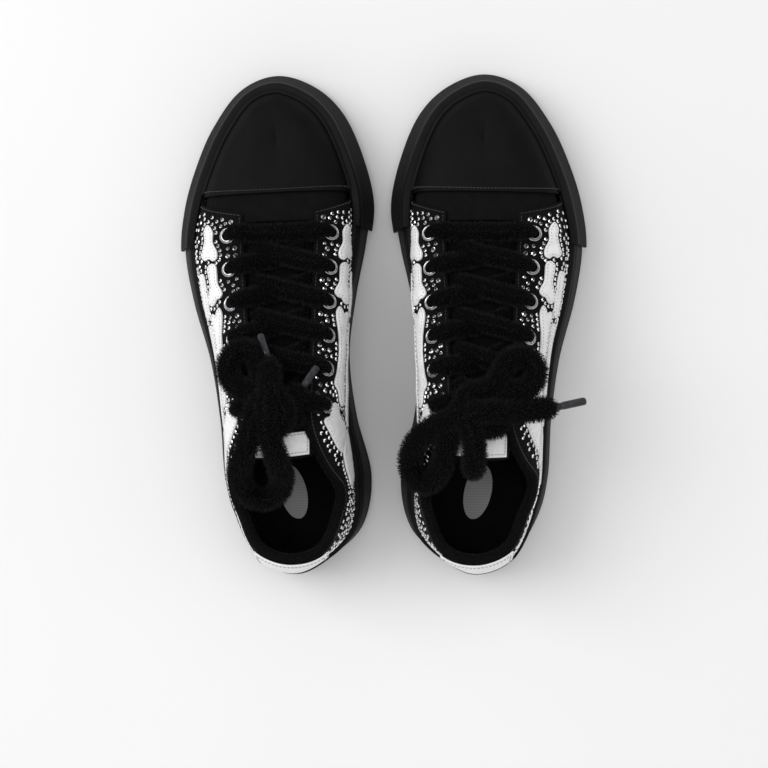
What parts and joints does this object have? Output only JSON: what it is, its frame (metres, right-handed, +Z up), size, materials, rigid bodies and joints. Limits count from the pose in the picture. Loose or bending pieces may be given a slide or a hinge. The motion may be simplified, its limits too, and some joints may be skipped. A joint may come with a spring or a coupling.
{
  "type": "cheer shoes",
  "caption": "Pair of low black lace-up cheer shoes with flat rubber soles, white bone patches and set stones on the sides, and plush laces tied in bows.",
  "frame": {"origin": "middle of the pair's bounding box on the floor, measured without the laces", "axes": "+Y towards the toes, +Z up, +X towards the right shoe"},
  "size_m": [0.2291, 0.2801, 0.106],
  "materials": {
    "sole_rubber": "satin",
    "midsole_foam": "matt",
    "insole_board": "matt",
    "liner_fabric": "matt",
    "upper_canvas": "matt",
    "cap_leather": "satin",
    "white_leather": "satin",
    "eyelet_metal": "polished",
    "lace_plush": "matt",
    "aglet_plastic": "clear"
  },
  "bodies": {
    "left_shoe": {"left_outsole": "sole_rubber", "left_midsole_filler": "midsole_foam", "left_foxing_band": "sole_rubber", "left_toe_bumper": "sole_rubber", "left_insole_board": "insole_board", "left_sock_liner": "liner_fabric", "left_vamp": "upper_canvas", "left_toe_cap": "cap_leather", "left_heel_strip": "white_leather", "left_heel_counter": "midsole_foam", "left_collar_lining": "liner_fabric", "left_lace": "lace_plush", "left_quarter_outer": "upper_canvas", "left_quarter_inner": "upper_canvas", "left_aglet_1": "aglet_plastic", "left_aglet_2": "aglet_plastic", "left_eyelet_outer_1": "eyelet_metal", "left_eyelet_outer_2": "eyelet_metal", "left_eyelet_outer_3": "eyelet_metal", "left_eyelet_outer_4": "eyelet_metal", "left_eyelet_outer_5": "eyelet_metal", "left_eyelet_outer_6": "eyelet_metal", "left_eyelet_inner_1": "eyelet_metal", "left_eyelet_inner_2": "eyelet_metal", "left_eyelet_inner_3": "eyelet_metal", "left_eyelet_inner_4": "eyelet_metal", "left_eyelet_inner_5": "eyelet_metal", "left_eyelet_inner_6": "eyelet_metal"},
    "left_tongue_body": {"left_tongue": "upper_canvas", "left_tongue_label": "white_leather"},
    "right_shoe": {"right_outsole": "sole_rubber", "right_midsole_filler": "midsole_foam", "right_foxing_band": "sole_rubber", "right_toe_bumper": "sole_rubber", "right_insole_board": "insole_board", "right_sock_liner": "liner_fabric", "right_vamp": "upper_canvas", "right_toe_cap": "cap_leather", "right_heel_strip": "white_leather", "right_heel_counter": "midsole_foam", "right_collar_lining": "liner_fabric", "right_lace": "lace_plush", "right_quarter_outer": "upper_canvas", "right_quarter_inner": "upper_canvas", "right_aglet_1": "aglet_plastic", "right_aglet_2": "aglet_plastic", "right_eyelet_outer_1": "eyelet_metal", "right_eyelet_outer_2": "eyelet_metal", "right_eyelet_outer_3": "eyelet_metal", "right_eyelet_outer_4": "eyelet_metal", "right_eyelet_outer_5": "eyelet_metal", "right_eyelet_outer_6": "eyelet_metal", "right_eyelet_inner_1": "eyelet_metal", "right_eyelet_inner_2": "eyelet_metal", "right_eyelet_inner_3": "eyelet_metal", "right_eyelet_inner_4": "eyelet_metal", "right_eyelet_inner_5": "eyelet_metal", "right_eyelet_inner_6": "eyelet_metal"},
    "right_tongue_body": {"right_tongue": "upper_canvas", "right_tongue_label": "white_leather"}
  },
  "joints": [
    {"name": "right_shoe_lift", "type": "slide", "parent": "left_shoe", "child": "right_shoe", "axis": [0, 0, 1], "range_m": [0, 0.2]},
    {"name": "left_tongue_bend", "type": "hinge", "parent": "left_shoe", "child": "left_tongue_body", "pos_m": [-0.05559, 0.05242, 0.043], "axis": [0.999, 0.0436, 0], "range_deg": [0, 6], "stiffness_Nm_per_rad": 0.3, "springref_deg": -5.73},
    {"name": "right_tongue_bend", "type": "hinge", "parent": "right_shoe", "child": "right_tongue_body", "pos_m": [0.05532, 0.05257, 0.043], "axis": [0.9998, -0.0175, 0], "range_deg": [0, 6], "stiffness_Nm_per_rad": 0.3, "springref_deg": -5.73}
  ]
}
